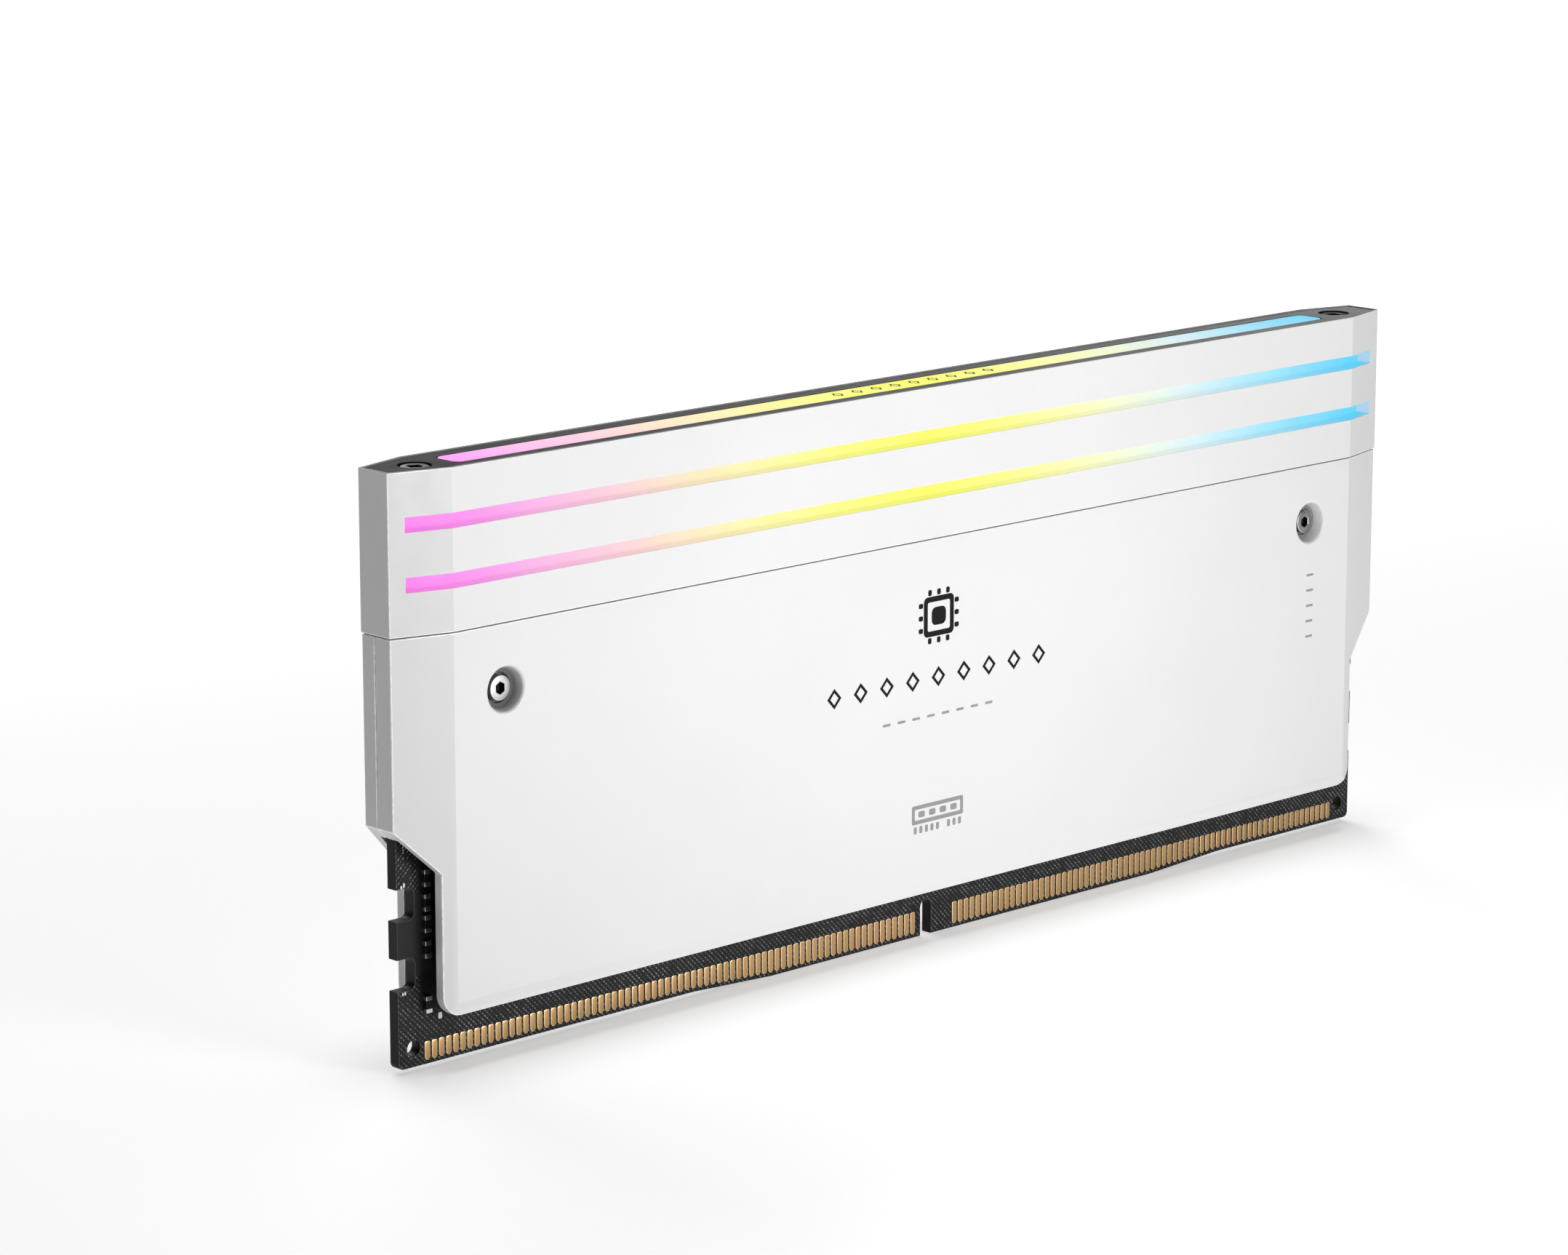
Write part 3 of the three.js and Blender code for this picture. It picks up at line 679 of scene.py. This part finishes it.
def round_edges(bm, width, chosen, segments=3, least=40, edge_shading_and_wear=1.0):
    """Rounds the edges that turn more than least and whose middle the test accepts.

    edge_shading_and_wear is how strongly the new narrow faces take the painted edge highlight,
    shadow line and wear, from 0 to 1.
    """
    layer = edge_layer(bm)
    sharp = [
        edge
        for edge in bm.edges
        if len(edge.link_faces) == 2
        and edge.calc_face_angle() > math.radians(least)
        and chosen((edge.verts[0].co + edge.verts[1].co) / (2 * MM))
    ]
    made = bmesh.ops.bevel(
        bm,
        geom=sharp,
        offset=width * MM,
        segments=segments,
        profile=0.5,
        affect="EDGES",
        clamp_overlap=False,
    )
    for face in made["faces"]:
        face[layer] = edge_shading_and_wear


def paint(bm, material, chosen):
    """Gives a material number to the faces whose middle and normal the test accepts."""
    bm.normal_update()
    for face in bm.faces:
        if chosen(face.calc_center_median() / MM, face.normal):
            face.material_index = material


def front(u, v, t):
    """A point u along X and v up Z, with t forward out of the page, in millimetres."""
    return Vector((u, -t, v)) * MM


def rear(u, v, t):
    """The same seen from behind: u runs along -X and t goes back."""
    return Vector((-u, t, v)) * MM


def above(u, v, t):
    """The same seen from above: v runs along Y and t goes up."""
    return Vector((u, v, t)) * MM


def ring(bm, outline, t, place):
    return [bm.verts.new(place(u, v, t)) for u, v in outline]


def strip(bm, first, second, material=0, edge=False):
    """Joins two rings of the same length with a band of faces."""
    layer = edge_layer(bm)
    count = len(first)
    for i in range(count):
        j = (i + 1) % count
        face = bm.faces.new((first[i], first[j], second[j], second[i]))
        face.material_index = material
        face[layer] = 1.0 if edge else 0.0


def shrink(outline, inset):
    """The outline pulled in towards the middle of its box by inset on each side."""
    us, vs = [u for u, v in outline], [v for u, v in outline]
    u_mid, v_mid = (min(us) + max(us)) / 2, (min(vs) + max(vs)) / 2
    u_share = 1 - 2 * inset / (max(us) - min(us))
    v_share = 1 - 2 * inset / (max(vs) - min(vs))
    return [(u_mid + (u - u_mid) * u_share, v_mid + (v - v_mid) * v_share) for u, v in outline]


def tablet(bm, outline, low, high, place, chamfer, material=0):
    """A flat block on an outline, from low to high, with its upper edge chamfered.

    The chamfer takes at most half of a thin block's height.
    """
    base = ring(bm, outline, low, place)
    shoulder = ring(bm, outline, high - min(chamfer, (high - low) / 2), place)
    top = ring(bm, shrink(outline, chamfer), high, place)
    strip(bm, base, shoulder, material)
    strip(bm, shoulder, top, material, edge=True)
    bm.faces.new(top).material_index = material
    bm.faces.new(base[::-1]).material_index = material


def frame_tablet(bm, outer, inner, low, high, place):
    """A flat block between an outer and an inner outline of the same length."""
    rings = [
        ring(bm, outline, t, place)
        for outline, t in ((outer, low), (outer, high), (inner, high), (inner, low))
    ]
    for first, second in zip(rings, rings[1:] + rings[:1]):
        strip(bm, first, second)


def rounded(u, v, width, height, radius):
    """A rounded rectangle about (u, v)."""
    points = []
    for turn, (su, sv) in enumerate(((1, 1), (-1, 1), (-1, -1), (1, -1))):
        cu, cv = u + su * (width / 2 - radius), v + sv * (height / 2 - radius)
        for i in range(CORNER_STEPS + 1):
            angle = math.pi / 2 * (turn + i / CORNER_STEPS)
            points.append((cu + radius * math.cos(angle), cv + radius * math.sin(angle)))
    return points


def diamond(u, v, half_width, half_height):
    return [(u + half_width, v), (u, v + half_height), (u - half_width, v), (u, v - half_height)]


def circle(radius):
    return lambda angle: radius


def hexagon(across):
    """The distance to a hexagon's side at an angle, with a corner straight up."""
    sixth = math.radians(60)
    return lambda angle: across / 2 / math.cos((angle + sixth / 2) % sixth - sixth / 2)


def turned(bm, rings, place):
    """A closed solid from rings of (radius at angle, height, material, edge)."""
    angles = [2 * math.pi * i / RING_STEPS for i in range(RING_STEPS)]
    previous = None
    for radius, t, material, edge in rings:
        outline = [(radius(a) * math.cos(a), radius(a) * math.sin(a)) for a in angles]
        current = ring(bm, outline, t, place)
        if previous:
            strip(bm, previous, current, material, edge)
        else:
            bm.faces.new(current[::-1]).material_index = material
        previous = current
    bm.faces.new(previous).material_index = material


# Shells


def add_spreaders():
    screw = middle("casing_screw_right")

    def from_screw(p):
        return math.hypot(abs(p.x) - screw.x, p.z - screw.z)

    def recess_mouth(p):
        return p.y < ON_FACE - FRONT_FACE and from_screw(p) < RECESS_REACH

    def in_recess(p):
        return p.y > RECESS_LIP - FRONT_FACE and from_screw(p) < RECESS_RADIUS

    bm = cad_copy("front_spreader")
    round_edges(bm, RECESS_BEVEL, recess_mouth, segments=4, least=20, edge_shading_and_wear=0.1)
    round_edges(bm, SHELL_BEVEL, lambda p: from_screw(p) > RECESS_REACH)
    # Painted shade: the recess's wall and floor take the darker recess materials.
    paint(bm, 1, lambda p, normal: in_recess(p))
    paint(bm, 2, lambda p, normal: in_recess(p) and abs(normal.y) > FLOOR_FACING)
    materials = [WHITE, RECESS_PAINTED_SHADE, RECESS_FLOOR_PAINTED_SHADE]
    add_piece("front_spreader_shell", bm, materials, ["front_spreader"])

    bm = cad_copy("rear_spreader")
    round_edges(bm, SHELL_BEVEL, lambda p: True)
    add_piece("rear_spreader_shell", bm, [WHITE], ["rear_spreader"])


def slot_height(p):
    return any(low - ON_FACE < p.z < high + ON_FACE for low, high in SLOTS)


def slot_wall(p, normal):
    """Whether a face of the bar is a slot's ledge or its end."""
    ledge = slot_height(p) and abs(normal.z) > SQUARE
    end = abs(normal.x) > SQUARE and abs(abs(p.x) - SLOT_END) < ON_FACE
    return ledge or end


def add_bar_housing():
    rim_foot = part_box("light_bar_shell")[1].z / MM - RIM_DEPTH

    def outer(p):
        on_rim = BAR_RIM[0] < abs(p.y) < BAR_RIM[1]
        return on_rim or abs(p.y) > BAR_SIDE or abs(p.x) > BAR_END

    def at_slot(p):
        return slot_height(p) and abs(p.x) < SLOT_END + SLOT_MARGIN

    bm = cad_copy("light_bar_shell")
    round_edges(bm, SLOT_BEVEL, lambda p: outer(p) and at_slot(p), edge_shading_and_wear=0.05)
    round_edges(bm, BAR_BEVEL, lambda p: outer(p) and not at_slot(p))
    paint(bm, 1, slot_wall)
    # Painted shade: the upward faces at the top of the bar take the darker rim coat.
    paint(bm, 2, lambda p, normal: p.z > rim_foot and normal.z > RIM_FACING)
    materials = [WHITE, SLOT_WALL, RIM_PAINTED_SHADE]
    add_piece("light_bar_housing", bm, materials, ["light_bar_shell"])


def add_bar_top():
    screw_x = middle("top_screw_right").x

    def on_top(p):
        return p.z > PLATE_FACE - ON_FACE

    def seat(p, normal):
        from_screw = math.hypot(abs(p.x) - screw_x, p.y)
        return from_screw < SEAT_RADIUS and p.z < PLATE_FACE - ON_FACE / 2

    bm = cad_copy("top_plate")
    round_edges(bm, PLATE_BEVEL, on_top, segments=2)
    # Painted shadow: the seat walls around the bar screws are painted near black.
    paint(bm, 1, seat)
    add_piece("top_cover_plate", bm, [PLATE, SOCKET], ["top_plate"])

    bm = cad_copy("top_lens")
    round_edges(bm, BAR_BEVEL, on_top)
    add_piece("top_diffuser", bm, [DIFFUSER], ["top_lens"])


# Screws


def thread_rings(shaft, height, reach):
    """The threaded shaft, from its tip at -reach up to the underside of its head."""
    core = shaft - THREAD_DEPTH
    foot, crest = circle(core), circle(shaft)
    heights = [(circle(core * TIP_SHARE), -reach), (foot, -reach + THREAD_FOOT)]
    turns = int((reach - height - 2 * THREAD_PITCH) / THREAD_PITCH)
    for i in range(1, turns + 1):
        start = -reach + i * THREAD_PITCH
        heights += [(crest, start + THREAD_CREST), (foot, start + THREAD_FOOT)]
    heights += [(crest, -height - NECK), (crest, -height)]
    return [(radius, t, METAL_PART, False) for radius, t in heights]


def head_rings(radius, height, depth, across):
    """The head, from its underside up to its face at 0 and down into its hexagon."""
    hollow = hexagon(across)
    crown = [
        (circle(radius - inward), -below, METAL_PART, inward > 0)
        for inward, below in HEAD_CROWN
    ]
    return [
        (circle(radius - HEAD_FOOT), -height, METAL_PART, False),
        (circle(radius), HEAD_FOOT - height, METAL_PART, True),
        *crown,
        (hexagon(across + 2 * HEX_LIP), 0, METAL_PART, False),
        (hollow, -HEX_LIP, METAL_PART, True),
        (hollow, -depth, HOLLOW_PART, False),
        (circle(across * DRILL_SHARE), -depth - DRILL_POINT, HOLLOW_PART, False),
    ]


def add_screw(name, node, screw, at, reach, place, finish):
    """A socket screw whose head face is centred on at and whose tip lies reach below it."""
    rings = thread_rings(screw["shaft"], screw["height"], reach)
    rings += head_rings(screw["radius"], screw["height"], screw["depth"], screw["across"])
    bm = bmesh.new()
    turned(bm, rings, lambda u, v, t: place(u + at[0], v + at[1], t + at[2]))
    add_piece(name, bm, [finish, SOCKET], [node])


def add_screws():
    # Lit and shaded copies of one steel: the right screw's darker steel is painted shade.
    for side, steel in (("left", STEEL), ("right", STEEL_PAINTED_SHADE)):
        name, node = f"socket_screw_{side}", f"casing_screw_{side}"
        low, high = (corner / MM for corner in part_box(node))
        at = ((low.x + high.x) / 2, (low.z + high.z) / 2, -low.y)
        add_screw(name, node, CASING_SCREW, at, high.y - low.y, front, steel)

        name, node = f"bar_screw_{side}", f"top_screw_{side}"
        low, high = (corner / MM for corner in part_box(node))
        at = ((low.x + high.x) / 2, (low.y + high.y) / 2, high.z)
        add_screw(name, node, BAR_SCREW, at, high.z - low.z, above, SCREW_GREY)


# Circuit board


def lower_edge(x):
    """Height of the board's lower edge, which steps up towards both ends."""
    near, far = LEFT_RAMP if x < 0 else RIGHT_RAMP
    share = (x - near) / (far - near)
    return EDGE_STEP * min(1, max(0, share))


def finger_outline(x):
    """A finger with rounded shoulders above and a stepped, narrower lower end."""
    low = lower_edge(x) + FINGER_LIFT
    half = FINGER_WIDTH / 2
    side = [(half - inward, low + up) for inward, up in FINGER_FOOT]
    side += [(half - inward, FINGER_TOP - down) for inward, down in FINGER_HEAD]
    return [(x + u, v) for u, v in side] + [(x - u, v) for u, v in side[::-1]]


def add_fingers(node, place, turned_round):
    """One row of contact fingers, over the width of its CAD node."""
    low, high = (corner.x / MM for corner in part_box(node))
    count = round((high - low - FINGER_WIDTH) / FINGER_PITCH) + 1
    top = BOARD_FACE + FINGER_THICKNESS
    bm = bmesh.new()
    for i in range(count):
        outline = finger_outline(low + FINGER_WIDTH / 2 + i * FINGER_PITCH)
        if turned_round:
            outline = [(-u, v) for u, v in outline[::-1]]
        tablet(bm, outline, BOARD_FACE, top, place, FINGER_CHAMFER)
    add_piece(node.replace("contacts", "contact_fingers"), bm, [GOLD], [node])


def add_contacts():
    for side in ("left", "right"):
        add_fingers(f"contacts_front_{side}", front, turned_round=False)
    for side in ("left", "right"):
        add_fingers(f"contacts_rear_{side}", rear, turned_round=True)


def add_board():
    bm = cad_copy("circuit_board")
    round_edges(bm, BOARD_BEVEL, lambda p: abs(abs(p.y) - BOARD_FACE) < ON_FACE, segments=2)
    add_piece("circuit_board_laminate", bm, [BOARD], ["circuit_board"])


def add_chip_resistor(node, tin):
    """A ceramic chip with a metal cap at each end."""
    low, high = (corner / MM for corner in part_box(node))
    x, z = (low.x + high.x) / 2, (low.z + high.z) / 2
    width, height = high.x - low.x, high.z - low.z
    bm = bmesh.new()
    body = rounded(x, z, width - CHIP_STEP, height - 2 * CAP_LENGTH + CHIP_STEP, CHIP_CORNER)
    tablet(bm, body, CHIP_STEP - high.y, -low.y - CHIP_SINK, front, CHIP_CORNER)
    for side in (-1, 1):
        end = z + side * (height - CAP_LENGTH) / 2
        cap = rounded(x, end, width, CAP_LENGTH, CHIP_CORNER)
        tablet(bm, cap, -high.y, -low.y, front, CHIP_CORNER, material=1)
    add_piece(f"{node}_body", bm, [CERAMIC, tin], [node])


def add_chip_resistors():
    for i in range(1, 6):
        # Lit and shaded copies of one tin: all but the fifth resistor take the darker tin,
        # painted shade from the spreader.
        add_chip_resistor(f"chip_resistor_{i}", TIN if i == 5 else TIN_PAINTED_SHADE)


def add_board_legend():
    """White legend marks beside the upper and lower notches and near the lower left corner."""
    bm = bmesh.new()
    for x, z, width, height in LEGEND_MARKS:
        outline = rounded(x, z, width, height, LEGEND_CORNER)
        tablet(bm, outline, BOARD_FACE, BOARD_FACE + LEGEND_PROUD, front, LEGEND_CHAMFER)
    add_piece("board_legend_marks", bm, [INK_WHITE])


# Printed marks, all of them generic


def print_outline(bm, outer, inner, face, place):
    frame_tablet(bm, outer, inner, face - PRINT_SUNK, face + PRINT_PROUD, place)


def print_frame(bm, v, sizes):
    """A rectangular frame with rounded corners, in the middle of the front."""
    outer, inner = (rounded(0, v, *size) for size in sizes)
    print_outline(bm, outer, inner, FRONT_FACE, front)


def print_bar(bm, u, v, width, height):
    """A small solid bar with rounded corners on the front."""
    low, high = FRONT_FACE - PRINT_SUNK, FRONT_FACE + PRINT_PROUD
    outline = rounded(u, v, width, height, min(width, height) * PRINT_ROUNDING)
    tablet(bm, outline, low, high, front, PRINT_CHAMFER)


def add_chip_mark():
    """A chip pictogram: a thick frame, a core and three pins on each side."""
    bm = bmesh.new()
    print_frame(bm, CHIP_MARK_Z, CHIP_FRAME)
    print_bar(bm, 0, CHIP_MARK_Z, *CHIP_CORE)
    for step in (-CHIP_PIN_STEP, 0, CHIP_PIN_STEP):
        for side in (-1, 1):
            print_bar(bm, step, CHIP_MARK_Z + side * CHIP_PIN_REACH[1], *CHIP_PIN)
            print_bar(bm, side * CHIP_PIN_REACH[0], CHIP_MARK_Z + step, *CHIP_PIN[::-1])
    add_piece("print_chip_pictogram", bm, [INK_BLACK])


def add_diamonds(name, v, step, sizes, face, place):
    """A row of nine outlined diamonds about the middle."""
    bm = bmesh.new()
    for i in range(-4, 5):
        outer, inner = (diamond(i * step, v, *size) for size in sizes)
        print_outline(bm, outer, inner, face, place)
    add_piece(name, bm, [INK_BLACK])


def add_dash_rows():
    """A row of dashes under the diamonds and a column of them at the right."""
    bm = bmesh.new()
    for i in range(8):
        print_bar(bm, (i - 3.5) * DASH_STEP, DASH_ROW_Z, *DASH)
    for i in range(5):
        print_bar(bm, COLUMN_START[0], COLUMN_START[1] - i * COLUMN_STEP, *COLUMN_DASH)
    add_piece("print_dash_rows", bm, [INK_GREY])


def add_module_mark():
    """A module pictogram: a frame, four chips and a row of pins with one gap."""
    bm = bmesh.new()
    print_frame(bm, MODULE_MARK_Z, MODULE_FRAME)
    for i in range(4):
        print_bar(bm, (i - 1.5) * MODULE_CHIP_STEP, MODULE_MARK_Z, *MODULE_CHIP)
    for i in range(-4, 5):
        if i != MODULE_PIN_GAP:
            print_bar(bm, i * MODULE_PIN_STEP, MODULE_PINS_Z, *MODULE_PIN)
    add_piece("print_module_pictogram", bm, [INK_GREY])


def add_prints():
    row = (DIAMOND_ROW_Z, DIAMOND_STEP, DIAMOND, FRONT_FACE, front)
    lens_row = (0, LENS_DIAMOND_STEP, LENS_DIAMOND, LENS_FACE, above)
    add_chip_mark()
    add_diamonds("print_diamond_row", *row)
    add_dash_rows()
    add_module_mark()
    add_diamonds("print_lens_diamonds", *lens_row)


# CAD nodes that stay as they are


def finish_cad_nodes():
    finishes = {
        "light_guide": DIFFUSER,
        "led_board": BOARD,
        "led_riser_card": BOARD,
        "led_riser_socket": CONNECTOR,
        "top_rail": ALUMINIUM,
        "thermal_pad_front": SILICONE,
        "thermal_pad_rear": SILICONE,
        "power_chip": CHIP,
        "hub_chip": CHIP,
        "inductor_left": CERAMIC,
        "inductor_right": CERAMIC,
    }
    for name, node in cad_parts.items():
        material = finishes.get(name)
        if name.startswith("memory_chip"):
            material = CHIP
        elif name.startswith("led_") and name[4:].isdigit():
            material = LED_BODY
        if material:
            for slot in node.material_slots:
                slot.material = material


# Stage


def floor_material():
    """A pale surface that glows more the further it lies from the module."""
    shader = Shader("pale_floor", Specular_IOR_Level=0.1)
    shader.surface.inputs["Emission Color"].default_value = grey(255)
    x, y = shader.along("X"), shader.along("Y")
    squares = [shader.math("MULTIPLY", axis, axis) for axis in (x, y)]
    reach = shader.math("SQRT", shader.math("ADD", *squares))
    glow = shader.ease(reach, *FLOOR_GLOW_REACH, *FLOOR_GLOW)
    shader.put(shader.surface.inputs["Emission Strength"], glow)
    tone = shader.mottle(shader.noise(size=400, detail=2), grey(211), grey(215))
    sheen = shader.ease(shader.noise(size=3, detail=3), 0, 1, 0.85, 0.95)
    return shader.finish(tone, sheen, shader.noise(2, 3), strength=0.05, depth=0.05)


def add_floor():
    bm = bmesh.new()
    bmesh.ops.create_circle(bm, cap_ends=True, radius=FLOOR_RADIUS, segments=FLOOR_STEPS)
    mesh = bpy.data.meshes.new("floor")
    bm.to_mesh(mesh)
    bm.free()
    mesh.materials.append(floor_material())
    floor = bpy.data.objects.new("floor", mesh)
    floor.location.z = CAD_BOX[0].z
    SCENE.collection.objects.link(floor)


def add_world():
    """A dim studio with a pale band at the horizon, in front of a white backdrop."""
    world = bpy.data.worlds.new("studio")
    SCENE.world = world
    world.use_nodes = True
    nodes, links = world.node_tree.nodes, world.node_tree.links
    split = nodes.new("ShaderNodeSeparateXYZ")
    links.new(nodes.new("ShaderNodeTexCoord").outputs["Generated"], split.inputs[0])
    ramp = nodes.new("ShaderNodeValToRGB")
    for element, (position, tone) in zip(ramp.color_ramp.elements, HORIZON):
        element.position = position
        element.color = (tone, tone, tone, 1)
    links.new(split.outputs["Z"], ramp.inputs[0])
    backdrop = nodes.new("ShaderNodeMix")
    backdrop.data_type = "RGBA"
    studio, white = backdrop.inputs[MIX_COLOURS]
    white.default_value = (1, 1, 1, 1)
    links.new(nodes.new("ShaderNodeLightPath").outputs["Is Camera Ray"], backdrop.inputs[0])
    links.new(ramp.outputs[0], studio)
    links.new(backdrop.outputs[MIX_RESULT], nodes["Background"].inputs[0])


def add_area(name, location, size, power):
    """A rectangular lamp, size metres wide and high, turned towards the module."""
    light = bpy.data.lights.new(name, "AREA")
    light.shape = "RECTANGLE"
    light.size, light.size_y = size
    light.energy = power
    lamp = bpy.data.objects.new(name, light)
    lamp.location = location
    lamp.rotation_euler = (Vector(AIM) - Vector(location)).to_track_quat("-Z", "Y").to_euler()
    lamp.visible_camera = False
    SCENE.collection.objects.link(lamp)
    return light


def add_lights():
    sun = bpy.data.lights.new("overhead", "SUN")
    sun.energy = SUN_STRENGTH
    sun.angle = math.radians(SUN_SPREAD)
    SCENE.collection.objects.link(bpy.data.objects.new("overhead", sun))
    key = add_area("key", (0, -0.18, 0.045), size=(0.08, 0.06), power=0.2)
    key.spread = math.radians(KEY_SPREAD)
    add_area("back_fill", (0.15, 0.5, 0.4), size=(0.4, 0.3), power=1.9)


def add_camera():
    camera = bpy.data.cameras.new("camera")
    camera.sensor_width = CAMERA_SENSOR
    camera.lens = CAMERA_LENS
    camera.clip_start, camera.clip_end = CAMERA_CLIP
    viewer = bpy.data.objects.new("camera", camera)
    viewer.location = CAMERA_PLACE
    pitch, yaw = math.radians(CAMERA_PITCH), math.radians(CAMERA_YAW)
    viewer.rotation_euler = (math.pi / 2 - pitch, 0, -yaw)
    SCENE.collection.objects.link(viewer)
    SCENE.camera = viewer
    SCENE.view_settings.view_transform = "Standard"


add_spreaders()
add_bar_housing()
add_bar_top()
add_screws()
add_contacts()
add_board()
add_chip_resistors()
add_board_legend()
add_prints()
finish_cad_nodes()
add_floor()
add_world()
add_lights()
add_camera()

bpy.context.view_layer.update()
